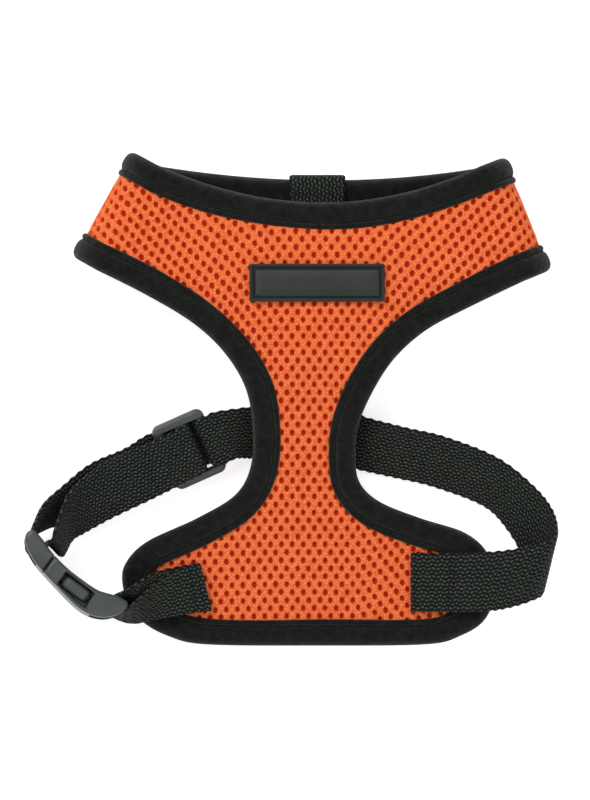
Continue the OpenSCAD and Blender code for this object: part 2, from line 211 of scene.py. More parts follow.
def lay(p):
    """Places points of the flat sheet on the folded harness.
    Returns their positions and outer normals."""
    p = np.asarray(p, float)
    pos = np.column_stack([p, front_height(p[:, 0], p[:, 1])])
    nor = front_normal(p[:, 0], p[:, 1])
    for fold in (LEFT, RIGHT):
        t, d = fold.split(p)
        beyond = d > 0
        foot = fold.foot + t[beyond, None] * fold.along
        d = d[beyond]
        phi = np.minimum(d / FOLD_R, math.pi)
        reach = FOLD_R * np.sin(phi) - np.maximum(d - math.pi * FOLD_R, 0)
        settle = (front_height(foot[:, 0], foot[:, 1]) - FRONT_Z) * (1 - phi / math.pi)
        height = FOLD_Z + FOLD_R * np.cos(phi) + settle
        pos[beyond] = np.column_stack([foot + reach[:, None] * fold.out, height])
        nor[beyond] = np.column_stack([np.sin(phi)[:, None] * fold.out, np.cos(phi)])
    return pos, nor


def grain(x, y):
    """How far the rows of holes shift sideways and up at a point, as the cut pulls on the cloth."""
    over = np.maximum(np.abs(x - MIDDLE_X) - 12, 0)
    wing = 0.12 + 0.88 * smoothstep(y, 5, 42)
    hem = 0.30 * smoothstep(-y, 30, 55) * np.maximum(x - 20, 0) ** 2 / (np.maximum(x - 20, 0) + 8)
    lean = np.clip((x - MIDDLE_X) / 45, -1, 1) * 0.14 * np.maximum(y - 30, 0)
    return lean, hem - 0.30 * over**2 / (over + 14) * wing


# ---- making meshes
def volume(verts, faces):
    """Signed volume inside a closed mesh."""
    total = 0.0
    for f in faces:
        a = verts[f[0]]
        for k in range(1, len(f) - 1):
            total += a @ np.cross(verts[f[k]], verts[f[k + 1]])
    return total / 6


def new_object(name, verts, faces, material, uv=None, crease=None):
    """A closed mesh object from millimetre vertices, its faces turned outwards.
    uv gives one pair per vertex, in millimetres, and crease an angle to keep sharp, in degrees."""
    verts = np.asarray(verts, float)
    if volume(verts, faces) < 0:
        faces = [f[::-1] for f in faces]
    mesh = bpy.data.meshes.new(name)
    mesh.from_pydata((verts * MM).tolist(), [], [list(map(int, f)) for f in faces])
    mesh.update()
    if uv is not None:
        loops = np.empty(len(mesh.loops), np.int32)
        mesh.loops.foreach_get("vertex_index", loops)
        layer = mesh.uv_layers.new(name="cloth")
        layer.data.foreach_set("uv", (np.asarray(uv)[loops] * 0.01).astype(np.float32).ravel())
    mesh.materials.append(material)
    mesh.polygons.foreach_set("use_smooth", [True] * len(mesh.polygons))
    if crease:
        mesh.set_sharp_from_angle(angle=math.radians(crease))
    obj = bpy.data.objects.new(name, mesh)
    bpy.context.scene.collection.objects.link(obj)
    return obj


def grid_faces(rows, cols, closed_rows=False):
    """Quads of a tube of rows by cols points, whose rows may also close on themselves."""
    r = np.arange(rows if closed_rows else rows - 1)
    rr, cc = np.meshgrid(r, np.arange(cols), indexing="ij")
    r2, c2 = (rr + 1) % rows, (cc + 1) % cols
    quads = np.stack([rr * cols + cc, rr * cols + c2, r2 * cols + c2, r2 * cols + cc], axis=-1)
    return quads.reshape(-1, 4).tolist()


def prism_faces(rows, cols):
    """Faces of a tube of rows by cols points, with both its ends closed."""
    last = (rows - 1) * cols
    return grid_faces(rows, cols) + [list(range(cols))[::-1], list(range(last, last + cols))]


def ridge_noise(a, b):
    """Smooth repeatable unevenness between -1 and 1."""
    return (np.sin(a * 0.9 + 1.3 * np.sin(b * 0.37)) + np.sin(a * 0.23 + b * 0.61 + 2)
            + np.sin(b * 1.7 + 0.5 * np.sin(a * 0.31))) / 3


# ---- node materials
class Paint:
    """Short calls for building one material's nodes."""

    def __init__(self, name, roughness, **inputs):
        self.mat = bpy.data.materials.new(name)
        self.mat.use_nodes = True
        self.tree = self.mat.node_tree
        self.shader = self.tree.nodes["Principled BSDF"]
        self.shader.inputs["Roughness"].default_value = roughness
        for key, value in inputs.items():
            self.shader.inputs[key.replace("_", " ")].default_value = value

    def node(self, kind, **settings):
        made = self.tree.nodes.new(kind)
        for key, value in settings.items():
            setattr(made, key, value)
        return made

    def link(self, out, into):
        self.tree.links.new(out, into)

    def math(self, operation, a, b=None, c=None):
        made = self.node("ShaderNodeMath", operation=operation)
        for k, value in enumerate((a, b, c)):
            if value is None:
                continue
            if isinstance(value, (int, float)):
                made.inputs[k].default_value = value
            else:
                self.link(value, made.inputs[k])
        return made.outputs[0]

    def wave(self, value, length):
        """Sine that repeats each length of a value."""
        return self.math("SINE", self.math("MULTIPLY", value, 2 * math.pi / length))

    def where(self):
        return self.node("ShaderNodeTexCoord").outputs["Object"]

    def cloth_uv(self):
        """Places across and along the cloth, in millimetres."""
        split = self.node("ShaderNodeSeparateXYZ")
        self.link(self.node("ShaderNodeUVMap", uv_map="cloth").outputs[0], split.inputs[0])
        return [self.math("MULTIPLY", split.outputs[k], 100) for k in (0, 1)]

    def noise(self, scale, detail):
        made = self.node("ShaderNodeTexNoise")
        made.inputs["Scale"].default_value = scale
        made.inputs["Detail"].default_value = detail
        self.link(self.where(), made.inputs["Vector"])
        return made.outputs[0]

    def cells(self, scale):
        made = self.node("ShaderNodeTexVoronoi", feature="DISTANCE_TO_EDGE")
        made.inputs["Scale"].default_value = scale
        self.link(self.where(), made.inputs["Vector"])
        return made.outputs["Distance"]

    def ramp(self, value, stops):
        made = self.node("ShaderNodeValToRGB")
        bar = made.color_ramp
        while len(bar.elements) < len(stops):
            bar.elements.new(0.5)
        for element, (at, colour) in zip(bar.elements, stops):
            element.position = at
            element.color = (*colour, 1)
        self.link(value, made.inputs[0])
        return made.outputs[0]

    def mix(self, share, a, b):
        made = self.node("ShaderNodeMix", data_type="RGBA")
        for value, slot in ((share, 0), (a, 6), (b, 7)):
            if isinstance(value, tuple):
                made.inputs[slot].default_value = (*value, 1)
            else:
                self.link(value, made.inputs[slot])
        return made.outputs[2]

    def colour(self, value):
        self.link(value, self.shader.inputs["Base Color"])

    def rough(self, value, low, high):
        made = self.node("ShaderNodeMapRange")
        made.inputs["To Min"].default_value = low
        made.inputs["To Max"].default_value = high
        self.link(value, made.inputs[0])
        self.link(made.outputs[0], self.shader.inputs["Roughness"])

    def bump(self, value, distance, strength):
        made = self.node("ShaderNodeBump")
        made.inputs["Distance"].default_value = distance
        made.inputs["Strength"].default_value = strength
        self.link(value, made.inputs["Height"])
        self.link(made.outputs[0], self.shader.inputs["Normal"])


def chevron(paint, u, v):
    """Height of a weave of broken zigzag rows, 0 to 1, from cloth coordinates in millimetres."""
    u = paint.math("MULTIPLY_ADD", paint.noise(420, 2), 0.3, u)
    v = paint.math("MULTIPLY_ADD", paint.noise(260, 1), 0.7, v)
    zigzag = paint.math("PINGPONG", v, WAVE / 2)
    row = paint.math("MULTIPLY", paint.math("MULTIPLY_ADD", zigzag, 2 * SWING / WAVE, u), 1 / PICK)
    ridge = paint.math("MULTIPLY_ADD", paint.wave(row, 1), 0.5, 0.5)
    number = paint.math("FLOOR", paint.math("ADD", row, 0.25))
    along = paint.math("MULTIPLY_ADD", number, DASH * 0.44, v)
    beat = paint.math("MULTIPLY_ADD", paint.wave(along, DASH), 0.36, 0.64)
    return paint.math("MULTIPLY", ridge, beat)


def mesh_material():
    p = Paint("orange_mesh", 0.85, Specular_IOR_Level=0.12)
    u, v = p.cloth_uv()
    painted_hole_shade = p.node("ShaderNodeAttribute", attribute_name="painted_hole_shade").outputs["Fac"]
    ribs, rungs = p.wave(u, 0.62), p.wave(v, 0.74)
    knit = p.math("MULTIPLY_ADD", p.math("MULTIPLY", ribs, rungs), 0.5, 0.5)
    fibre = p.noise(2600, 2)
    cloud = p.noise(28, 3)
    yarn = p.mix(knit, (0.95, 0.155, 0.034), (1.0, 0.275, 0.092))
    yarn = p.mix(p.math("MULTIPLY", fibre, 0.5), yarn, (1.0, 0.33, 0.135))
    yarn = p.mix(p.math("MULTIPLY", cloud, 0.25), yarn, (0.80, 0.095, 0.018))
    strand = p.ramp(p.cells(1050), [(0.03, (1, 1, 1)), (0.22, (0, 0, 0))])
    yarn = p.mix(p.math("MULTIPLY", strand, 0.65), yarn, (0.62, 0.062, 0.008))
    # Painted shade inside the holes: their walls and floors are coloured a dark red-brown
    p.colour(p.mix(painted_hole_shade, yarn, (0.42, 0.017, 0.001)))
    p.bump(p.math("ADD", knit, p.math("MULTIPLY", fibre, 0.6)), 0.00014, 0.9)
    return p.mat


def binding_material():
    p = Paint("black_binding", 0.95, Specular_IOR_Level=0.08, Sheen_Weight=0.16,
              Sheen_Roughness=0.45)
    fuzz = p.noise(3200, 4)
    nap = p.noise(420, 3)
    patch = p.noise(45, 2)
    tone = p.math("ADD", p.math("MULTIPLY", fuzz, 0.5), p.math("MULTIPLY", nap, 0.5))
    base = p.ramp(tone, [(0.36, (0.0020, 0.0026, 0.0020)), (0.66, (0.0150, 0.0175, 0.0140))])
    p.colour(p.mix(p.math("MULTIPLY", patch, 0.3), base, (0.009, 0.010, 0.0085)))
    p.bump(p.math("ADD", fuzz, p.math("MULTIPLY", nap, 1.4)), 0.0005, 1.0)
    return p.mat


def webbing_material():
    p = Paint("black_webbing", 0.7, Specular_IOR_Level=0.1)
    u, v = p.cloth_uv()
    weave = chevron(p, u, v)
    fine = p.math("MULTIPLY_ADD", p.wave(v, 0.54), 0.5, 0.5)
    fibre = p.noise(3000, 3)
    wear = p.noise(60, 2)
    speck = p.noise(700, 2)
    # Tone from the weave's height and specks: its ramp paints a highlight on the ridge tops and
    # shade in the gaps between rows
    tone = p.math("MULTIPLY", weave, p.math("MULTIPLY_ADD", fine, 0.55, 0.45))
    tone = p.math("MULTIPLY", tone, p.math("MULTIPLY_ADD", speck, 1.5, 0.3))
    base = p.ramp(tone, [(0.05, (0.0006, 0.0010, 0.0006)), (0.30, (0.020, 0.025, 0.020)),
                         (0.62, (0.078, 0.088, 0.076)), (1.0, (0.140, 0.155, 0.137))])
    base = p.mix(p.math("MULTIPLY", fibre, 0.18), base, (0.020, 0.025, 0.020))
    p.colour(p.mix(p.math("MULTIPLY", wear, 0.18), base, (0.008, 0.010, 0.008)))
    p.rough(fibre, 0.6, 0.85)
    p.bump(p.math("ADD", tone, p.math("MULTIPLY", fibre, 0.4)), 0.0003, 1.0)
    return p.mat


def moulded_material(paint, pebble, cloud, stops, rough, bump):
    """Clouded plastic or rubber with a fine pebbled surface."""
    fine = paint.noise(*pebble)
    paint.colour(paint.ramp(paint.noise(*cloud), stops))
    paint.rough(fine, *rough)
    paint.bump(fine, *bump)
    return paint.mat


def thread_material():
    p = Paint("black_thread", 0.8, Specular_IOR_Level=0.15)
    twist = p.noise(5000, 2)
    p.colour(p.ramp(twist, [(0.3, (0.002, 0.002, 0.002)), (0.8, (0.011, 0.012, 0.010))]))
    p.bump(twist, 0.00008, 0.6)
    return p.mat


def metal_material():
    p = Paint("nickel_wire", 0.2, Metallic=1.0)
    wear = p.noise(160, 4)
    p.colour(p.ramp(wear, [(0.25, (0.60, 0.60, 0.61)), (0.8, (0.78, 0.77, 0.75))]))
    p.rough(wear, 0.12, 0.3)
    p.bump(p.noise(900, 2), 0.00003, 0.4)
    return p.mat


MESH, BINDING, WEBBING = mesh_material(), binding_material(), webbing_material()
PLASTIC = moulded_material(
    Paint("satin_plastic", 0.4, Specular_IOR_Level=0.65), (1500, 3), (90, 3),
    [(0.3, (0.029, 0.036, 0.030)), (0.75, (0.047, 0.057, 0.049))], (0.32, 0.5), (0.00004, 0.5))
BADGE = moulded_material(
    Paint("badge_rubber", 0.5, Specular_IOR_Level=0.4), (2400, 3), (70, 2),
    [(0.3, (0.009, 0.012, 0.0095)), (0.8, (0.016, 0.020, 0.0165))], (0.34, 0.55), (0.00006, 0.7))
THREAD, METAL = thread_material(), metal_material()


# ---- spacer mesh panel
def sheet_outline(inset):
    """Closed curve a distance in from the bindings' outer edges, with both wings unrolled."""
    neck, edge = beside(FRONT_NECK, -inset), beside(EDGE, inset)
    back_neck, back_low = beside(BACK_NECK, -inset), beside(BACK_LOW, inset)
    right = lambda p: RIGHT.unroll(p[p[:, 0] >= BACK_X])
    left = lambda p: LEFT.unroll(p[p[:, 0] <= BACK_X])
    curve = np.concatenate([
        neck, right(back_neck)[::-1], right(back_low), edge[::-1], left(back_low),
        left(back_neck)[::-1],
    ])
    return evenly(np.concatenate([curve, curve[:1]]), 1.4)[:-1]


def cloth_half(inset):
    """Half the mesh's thickness at a distance in from the bindings' outer edge."""
    return np.interp(inset, INSETS, HALVES)


def inside(points, outline):
    """Which points lie in a closed outline, and how far each is from its edge."""
    x, y = points[:, 0][:, None], points[:, 1][:, None]
    a, b = outline, np.roll(outline, -1, axis=0)
    crosses = (a[:, 1] > y) != (b[:, 1] > y)
    rise = np.where(np.abs(b[:, 1] - a[:, 1]) < 1e-9, 1e-9, b[:, 1] - a[:, 1])
    hit = x < (b[:, 0] - a[:, 0]) * (y - a[:, 1]) / rise + a[:, 0]
    odd = (crosses & hit).sum(axis=1) % 2 == 1
    along = b - a
    share = ((points[:, None, :] - a) * along).sum(-1) / np.maximum((along**2).sum(-1), 1e-9)
    near = a + np.clip(share, 0, 1)[..., None] * along
    return odd, np.linalg.norm(points[:, None, :] - near, axis=-1).min(axis=1)


def lattice(low, high):
    """Middles of the staggered holes over a region of the flat sheet."""
    rows = np.arange(math.floor((low[1] - 5) / PITCH_V), math.ceil((high[1] + 45) / PITCH_V))
    cols = np.arange(math.floor(low[0] / PITCH_U) - 3, math.ceil(high[0] / PITCH_U) + 4)
    cc, rr = np.meshgrid(cols, rows)
    cloth = np.stack([(cc + 0.5 * (rr % 2)) * PITCH_U, rr * PITCH_V], axis=-1).reshape(-1, 2)
    at = cloth.copy()
    for _ in range(6):  # the grain depends a little on where the hole ends up
        shift = grain(at[:, 0], at[:, 1])
        at = cloth + np.stack(shift, axis=1)
    return at


def chest_panel():
    outline = sheet_outline(TUCK)
    holes = lattice(outline.min(0), outline.max(0))
    is_in, gap = inside(holes, outline)
    open_cloth = is_in & (gap > HOLE_MARGIN - TUCK)
    holes, gap = holes[open_cloth], gap[open_cloth]
    rng = np.random.default_rng(4)
    holes += rng.normal(0, 0.05, holes.shape)
    size = 1 + rng.normal(0, 0.035, (len(holes), 1, 1))

    turn = np.linspace(0, 2 * math.pi, HOLE_SIDES, endpoint=False)
    ring = np.stack([HOLE_U * np.cos(turn), HOLE_V * np.sin(turn)], axis=1)
    tilt = grain(holes[:, 0] + 0.5, holes[:, 1])[1] - grain(holes[:, 0] - 0.5, holes[:, 1])[1]
    ring = np.stack([ring[:, 0] - tilt[:, None] * ring[:, 1],
                     ring[:, 1] + tilt[:, None] * ring[:, 0]], axis=-1)
    points, sink, painted_hole_shade = [outline], [np.zeros(len(outline))], [np.zeros(len(outline))]
    half = [np.full(len(outline), cloth_half(TUCK))]
    for inset in INSETS[1:3]:
        guide = sheet_outline(inset)
        apart = np.linalg.norm(guide[:, None, :] - holes[None, :, :], axis=-1).min(axis=1)
        guide = guide[apart > 1.9]
        points.append(guide)
        half.append(np.full(len(guide), cloth_half(inset)))
        sink.append(np.zeros(len(guide)))
        painted_hole_shade.append(np.zeros(len(guide)))
    # Rings of a hole's wall, from its lip to its floor: size, depth and painted shade, as shares
    walls = ((1.24, 0.0, 0.0), (1.02, 0.2, 0.15), (0.84, 0.75, 0.95), (0.0, 1, 1))
    for scale, deep, shade_share in walls:
        count = HOLE_SIDES if scale else 1
        points.append((holes[:, None, :] + size * ring[:, :count] * scale).reshape(-1, 2))
        half.append(np.repeat(cloth_half(gap + TUCK), count))
        sink.append(np.full(len(holes) * count, deep * HOLE_DEPTH))
        painted_hole_shade.append(np.full(len(holes) * count, shade_share))
    flat, half = np.concatenate(points), np.concatenate(half)
    sink, painted_hole_shade = np.minimum(np.concatenate(sink), half - 0.25), np.concatenate(painted_hole_shade)

    n = len(outline)
    rim = [(i, (i + 1) % n) for i in range(n)]
    made = geometry.delaunay_2d_cdt([Vector(p) for p in flat], rim, [], 1, 1e-5)
    source = np.array([o[0] if o else 0 for o in made[3]])
    faces = np.array(made[2])
    flat, half, painted_hole_shade = np.array([tuple(v) for v in made[0]]), (half - sink)[source], painted_hole_shade[source]
    a, b, c = (flat[faces[:, k]] for k in range(3))
    wrong = (b - a)[:, 0] * (c - a)[:, 1] - (b - a)[:, 1] * (c - a)[:, 0] < 0
    faces[wrong] = faces[wrong][:, ::-1]

    pos, nor = lay(flat)
    outer, inner = pos + nor * half[:, None], pos - nor * half[:, None]
    edges = np.concatenate([faces[:, [0, 1]], faces[:, [1, 2]], faces[:, [2, 0]]])
    key = {(int(i), int(j)) for i, j in edges}
    open_edges = [(i, j) for i, j in key if (j, i) not in key]
    m = len(flat)
    skin = faces.tolist() + (faces[:, ::-1] + m).tolist()
    skin += [[j, i, i + m, j + m] for i, j in sorted(open_edges)]
    cloth_uv = flat - np.stack(grain(flat[:, 0], flat[:, 1]), axis=1)
    obj = new_object("mesh_panel", np.concatenate([outer, inner]), skin, MESH,
                     uv=np.concatenate([cloth_uv, cloth_uv]))
    # Share of painted shade at each point, most at the holes' floors
    layer = obj.data.attributes.new("painted_hole_shade", "FLOAT", "POINT")
    layer.data.foreach_set("value", np.concatenate([painted_hole_shade, painted_hole_shade]).astype(np.float32))
    # An outline 0.4 mm in from the bindings' outer edges, which nothing uses
    cut = sheet_outline(0.4)
    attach(obj, "root")
    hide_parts("chest_panel")


# ---- bindings
def bound_loop(front, back, inward_left, foot_of):
    """Path of a binding's outer edge round the whole neck ring: place, inward and outer normal."""
    side = 1 if inward_left else -1
    place, inward, normal = [], [], []
    arc = np.linspace(0, math.pi, 34)[1:-1]

    def layer(curve, lean, z, outer):
        place.append(np.column_stack([curve, z]))
        inward.append(np.column_stack([side * lean, np.zeros(len(curve))]))
        normal.append(outer)

    def roll(fold, foot, phis):
        out3, along3 = np.append(fold.out, 0), np.append(fold.along, 0) * side
        up = np.array([0, 0, 1.0])
        centre = np.append(foot, FOLD_Z)
        radial = np.sin(phis)[:, None] * out3 + np.cos(phis)[:, None] * up
        place.append(centre + FOLD_R * radial)
        inward.append(np.tile(along3, (len(phis), 1)))
        normal.append(radial)

    layer(front, left_of(front), front_height(front[:, 0], front[:, 1]),
          front_normal(front[:, 0], front[:, 1]))
    roll(RIGHT, foot_of(RIGHT_FOLD), arc)
    layer(back[::-1], left_of(back)[::-1], np.full(len(back), BAND_Z),
          np.tile([0, 0, -1.0], (len(back), 1)))
    roll(LEFT, foot_of(LEFT_FOLD), arc[::-1])
    path = [np.concatenate(v) for v in (place, inward, normal)]
    for _ in range(3):
        path = [(np.roll(v, 1, 0) + 2 * v + np.roll(v, -1, 0)) / 4 for v in path]
    place, normal = path[0], unit(path[2])
    inward = unit(path[1] - (path[1] * normal).sum(1, keepdims=True) * normal)
    return place, inward, normal


def binding_profile():
    """Section of the tape wrapped over the cloth's edge: distance from its outer edge, and height.
    The first half runs over the outside and the second back through the inside."""
    outside = [(9.3, 1.62), (9.42, 2.0), (9.15, 2.45), (8.7, 2.7), (8.1, 2.75), (7.65, 2.45),
               (7.35, 2.08), (7.05, 2.08), (6.7, 2.5), (5.9, 2.88), (4.6, 3.08), (3.2, 3.12),
               (2.0, 2.9), (1.1, 2.35), (0.5, 1.7), (0.12, 0.85), (0.0, 0.0)]
    inside_half = [(1.6, 0.0), (2.1, 0.9), (4.0, 1.08), (7.2, 1.12), (8.3, 1.35)]
    mirror = lambda side: [(a, -b) for a, b in reversed(side)]
    return outside + mirror(outside[:-1]) + mirror(inside_half[1:]) + inside_half


def binding(name, node, loop):
    place, inward, normal = loop
    profile = binding_profile()
    a, b = np.array(profile).T
    s, aa = run_length(place)[:, None], a[None, :]
    on_skin = (np.abs(b) > 1.5)[None, :]
    pucker = 0.10 * np.sin(s * 2 * math.pi / 2.9) * np.exp(-((aa - 7.2) / 1.3) ** 2)
    crease = 0.15 * ridge_noise(s / 2.6, aa / 1.5 + np.sign(b)[None, :])
    lift = b[None, :] + np.sign(b)[None, :] * (pucker + crease) * on_skin
    width = aa * (1 + 0.02 * np.sin(s / 9.0))
    verts = (place[:, None, :] + inward[:, None, :] * width[..., None]
             + normal[:, None, :] * lift[..., None]).reshape(-1, 3)
    verts[:, 2] = np.maximum(verts[:, 2], 0.15)
    uv = np.stack(np.broadcast_arrays(aa, s), axis=-1).reshape(-1, 2)
    obj = new_object(name, verts, grid_faces(len(place), len(profile), closed_rows=True), BINDING,
                     uv=uv)
    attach(obj, "root")
    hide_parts(node)


def thread_run(centre, along, up, length, radius):
    """Vertices and faces of one stitch: a short rod whose ends dive into the cloth."""
    across = np.cross(along, up)
    verts, sides = [], 6
    # Places along the stitch, each with its depth and its share of the full radius
    rings = ((-0.5, -0.28, 0.7), (-0.3, 0.0, 1.0), (0.3, 0.0, 1.0), (0.5, -0.28, 0.7))
    for t, sink, girth in rings:
        for k in range(sides):
            a = 2 * math.pi * k / sides
            verts.append(centre + along * t * length + up * (sink + radius * girth * math.sin(a))
                         + across * radius * girth * math.cos(a))
    return verts, prism_faces(len(rings), sides)


def stitches(name, node, runs, radius=0.21):
    """One object from many stitches, each given by centre, direction, up and length."""
    verts, faces = [], []
    for centre, along, up, length in runs:
        v, f = thread_run(centre, along, up, length, radius)
        faces += [[i + len(verts) for i in face] for face in f]
        verts += v
    obj = new_object(name, verts, faces, THREAD)
    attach(obj, "root")
    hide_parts(node)


def seam_runs(loop):
    """Stitches along a binding's groove, on the outer face, except where it lies on the floor."""
    place, inward, normal = loop
    line = place + inward * GROOVE_IN + normal * GROOVE_H
    dense = evenly(np.column_stack([line, normal]), STITCH / 2)
    step = unit(np.gradient(dense[:, :3], axis=0))
    return [(dense[i, :3], step[i], unit(dense[i, 3:]), STITCH * 0.72)
            for i in range(1, len(dense) - 1, 2) if dense[i, 2] > 2.2]


neck_loop = bound_loop(FRONT_NECK, BACK_NECK, False, lambda line: line[0])
outer_loop = bound_loop(EDGE, BACK_LOW, True, lambda line: line[1])
chest_panel()
binding("neck_binding_cloth", "neck_binding", neck_loop)
binding("outer_binding_cloth", "outer_binding", outer_loop)
stitches("binding_thread", "binding_stitching", seam_runs(neck_loop) + seam_runs(outer_loop))


# ---- webbing
def in_frame(at, heading, roll):
    """A function that turns points of a tilted part's own frame into the harness's frame."""
    h, r = math.radians(heading), math.radians(roll)
    turn = np.array([[math.cos(h), -math.sin(h), 0], [math.sin(h), math.cos(h), 0], [0, 0, 1]])
    tilt = np.array([[1, 0, 0], [0, math.cos(r), -math.sin(r)], [0, math.sin(r), math.cos(r)]])
    return lambda x, y, z: tuple(np.array(at) + turn @ tilt @ np.array([x, y, z], float))


adj = in_frame((-35.7, -16.9, 8.8), 204, -22)
buckle = in_frame((-83.9, -56.5, 14.8), -36, -4)
HALF = WEB_W / 2
PLUG_BAR, SOCKET_BAR, BAR_R, TURN_R = (-7.6, 2.05), (26.2, 0.6), 1.6, 2.6


def adj_station(u, w):
    return adj(u, -HALF, w), adj(u, HALF, w)


def bar_station(bar, degrees):
    a = math.radians(degrees)
    x, y = bar[0] + TURN_R * math.cos(a), bar[1] + TURN_R * math.sin(a)
    return buckle(x, y, HALF), buckle(x, y, -HALF)


# Stations along the girth strap, each a point on its upper and its lower edge
PATCH_TO_BACK = [
    ((40.9, -52.8, 11.2), (40.9, -73.1, 8.2)), ((50.9, -52.8, 13.1), (50.2, -73.1, 9.2)),
    ((61.2, -52.6, 14.9), (58.4, -73.1, 11.4)), ((70.6, -52.1, 15.8), (67.4, -72.8, 12.8)),
    ((79.8, -50.7, 17.4), (74.3, -71.7, 15)), ((88.8, -48.6, 16), (81.9, -69.3, 14)),
    ((91.3, -44.8, 11.5), (86.2, -66.2, 8)), ((89.8, -37.9, 8.2), (81.2, -56.6, 2.6)),
    ((83.6, -30, 8.5), (74.3, -44.8, 2.2)), ((70.9, -20, 10), (66, -36.6, 2.2)),
    ((52.9, -12.8, 10), (48.8, -30, 2.2)), ((39.8, -9.7, 9.5), (35.7, -26.9, 2.2)),
    ((26.2, -6.2, 6.6), (22.6, -24, 2.4)), ((19.2, -3.4, 3), (17.6, -21.9, 2.6)),
    ((13, -1.6, 2.6), (12, -20.4, 2.6)), ((5, -0.6, 2.6), (5, -19.4, 2.6)),
    ((-2.6, -0.8, 2.9), (-2.4, -19.3, 2.6)), ((-8.2, -1.4, 5.4), (-7.6, -19.6, 2.6)),
    ((-14.6, -2.4, 8.8), (-13.6, -20.2, 3)),
]
THROUGH_ADJUSTER = [adj_station(u, w) for u, w in (
    (-13.5, 2.2), (-9.2, 2.7), (-7.4, 2.5), (-6.1, 1.3), (-5.5, -1.2), (-3.8, -3.8), (2, -4.3),
    (9, -4.0), (13.5, -3.4))]
RUN_TO_PLUG = [
    ((-58.1, -16.9, 9), (-51.2, -34.5, 3)), ((-69.8, -22.1, 8.5), (-64.3, -39.7, 2.5)),
    ((-79.5, -30, 13), (-74, -44.8, 2.5)), ((-85.6, -35.9, 20), (-82, -43.8, 3.5)),
    ((-88.9, -43.4, 24.1), (-87.7, -45.7, 5.4)), ((-89.6, -45.9, 24.3), (-90.1, -47, 5.4)),
]
ROUND_PLUG_BAR = [bar_station(PLUG_BAR, a) for a in (172, 205, 240, 275, 310, 345)]
RETURN_TO_ADJUSTER = [
    ((-84.2, -49, 24.3), (-84.5, -50, 5.4)), ((-83.2, -48.3, 24.3), (-82.6, -51.2, 5.4)),
    ((-82, -45.8, 24.1), (-79.5, -54.0, 5.6)), ((-80.2, -40.2, 22), (-76.2, -48.6, 5)),
    ((-76.7, -31.8, 16.5), (-71.9, -45.9, 5)), ((-67.8, -23.4, 12.2), (-62.2, -40.7, 5.6)),
    ((-56.7, -17.9, 12.6), (-49.1, -34.5, 7.2)),
]
ROUND_ADJUSTER_BAR = [adj_station(u, w) for u, w in (
    (12, 4.0), (8, 3.4), (3, 2.8), (-0.8, 2.6), (-2.1, 2.0), (-2.6, 0.6), (-2.5, -1.2),
    (-1.4, -2.4), (1, -2.6), (5, -2.7))]
TAB_OUTER = [
    ((-31.9, -56.2, 12.3), (-27.8, -72.6, 9.8)), ((-40.2, -58.6, 12.9), (-37.4, -74, 11)),
    ((-48.2, -63.6, 16.5), (-46.4, -75.5, 11.6)), ((-54, -69.3, 22), (-53.8, -76.9, 10.2)),
    ((-57.4, -71.7, 23.8), (-58.8, -76.2, 7)),
]
ROUND_SOCKET_BAR = [bar_station(SOCKET_BAR, a) for a in (315, 275, 230, 185, 145)]
TAB_INNER = [
    ((-58.4, -66, 23.8), (-59.3, -69.2, 8)), ((-54.2, -63.4, 21.8), (-53.8, -73.6, 10.9)),
    ((-48.4, -59.9, 15.6), (-46.4, -73, 10.4)), ((-40.2, -57.6, 11.4), (-37.4, -73, 9.5)),
    ((-31.9, -56.2, 10.7), (-27.8, -72.6, 8.3)),
]


class Tape:
    """Webbing laid through stations, sampled evenly along its length."""

    def __init__(self, stations, step=0.5):
        both = np.array([[*e, *f] for e, f in stations], float)
        curve = through(both, 12)
        mid = (curve[:, :3] + curve[:, 3:]) / 2
        dense = evenly(np.column_stack([mid, curve]), step)
        self.e, self.f = dense[:, 3:6], dense[:, 6:9]
        mid = dense[:, :3]
        self.s = run_length(mid)
        run = np.gradient(mid, axis=0)
        self.n = unit(np.cross(run, self.f - self.e))
        self.mid = mid
        self.wide = np.linalg.norm(self.f - self.e, axis=1).mean()

    def nearest(self, point):
        """Distance along the tape at which it passes nearest to a point."""
        return self.s[np.argmin(np.linalg.norm(self.mid - np.array(point), axis=1))]

    def piece(self, name, low=0.0, high=1e9, thick=WEB_T, cols=44):
        """Woven tape between two distances along the route, its faces ridged and edges nicked."""
        keep = (self.s >= low - 1e-6) & (self.s <= high + 1e-6)
        e, f, n, s = self.e[keep], self.f[keep], self.n[keep], self.s[keep]
        wide = self.wide
        u = np.linspace(0, wide, cols + 1)
        edge = np.minimum(u, wide - u)
        body = thick / 2 * (0.45 + 0.55 * np.sqrt(np.clip(edge / 0.9, 0, 1)))
        zig = np.abs((s[:, None] / WAVE) % 1 - 0.5) * 2
        weave = 0.5 + 0.5 * np.sin((u[None, :] + SWING * (1 - zig)) * 2 * math.pi / PICK)
        loose = 0.05 * ridge_noise(s[:, None] / 4.0, u[None, :] / 3.0)
        rise = body[None, :] + (0.17 * (weave - 0.6) + loose) * (edge > 0.3)
        nick = 0.2 * np.sin(s * 2 * math.pi / WAVE)
        outer = np.where(u < 0.3, -1, np.where(u > wide - 0.3, 1, 0))
        share = u[None, :] / wide + outer[None, :] * nick[:, None] / wide
        base = e[:, None, :] + (f - e)[:, None, :] * share[..., None]
        top = base + n[:, None, :] * rise[..., None]
        bottom = (base - n[:, None, :] * rise[..., None])[:, ::-1]
        verts = np.concatenate([top, bottom], axis=1)
        around = verts.shape[1]
        uv_u = np.concatenate([u, u[::-1]])[None, :] + np.zeros((len(s), 1))
        uv = np.stack([uv_u, np.broadcast_to(s[:, None], uv_u.shape)], axis=-1)
        obj = new_object(name, verts.reshape(-1, 3), prism_faces(len(s), around), WEBBING,
                         uv=uv.reshape(-1, 2), crease=75)
        return obj


def metres(p):
    return tuple(float(v) * MM for v in p)


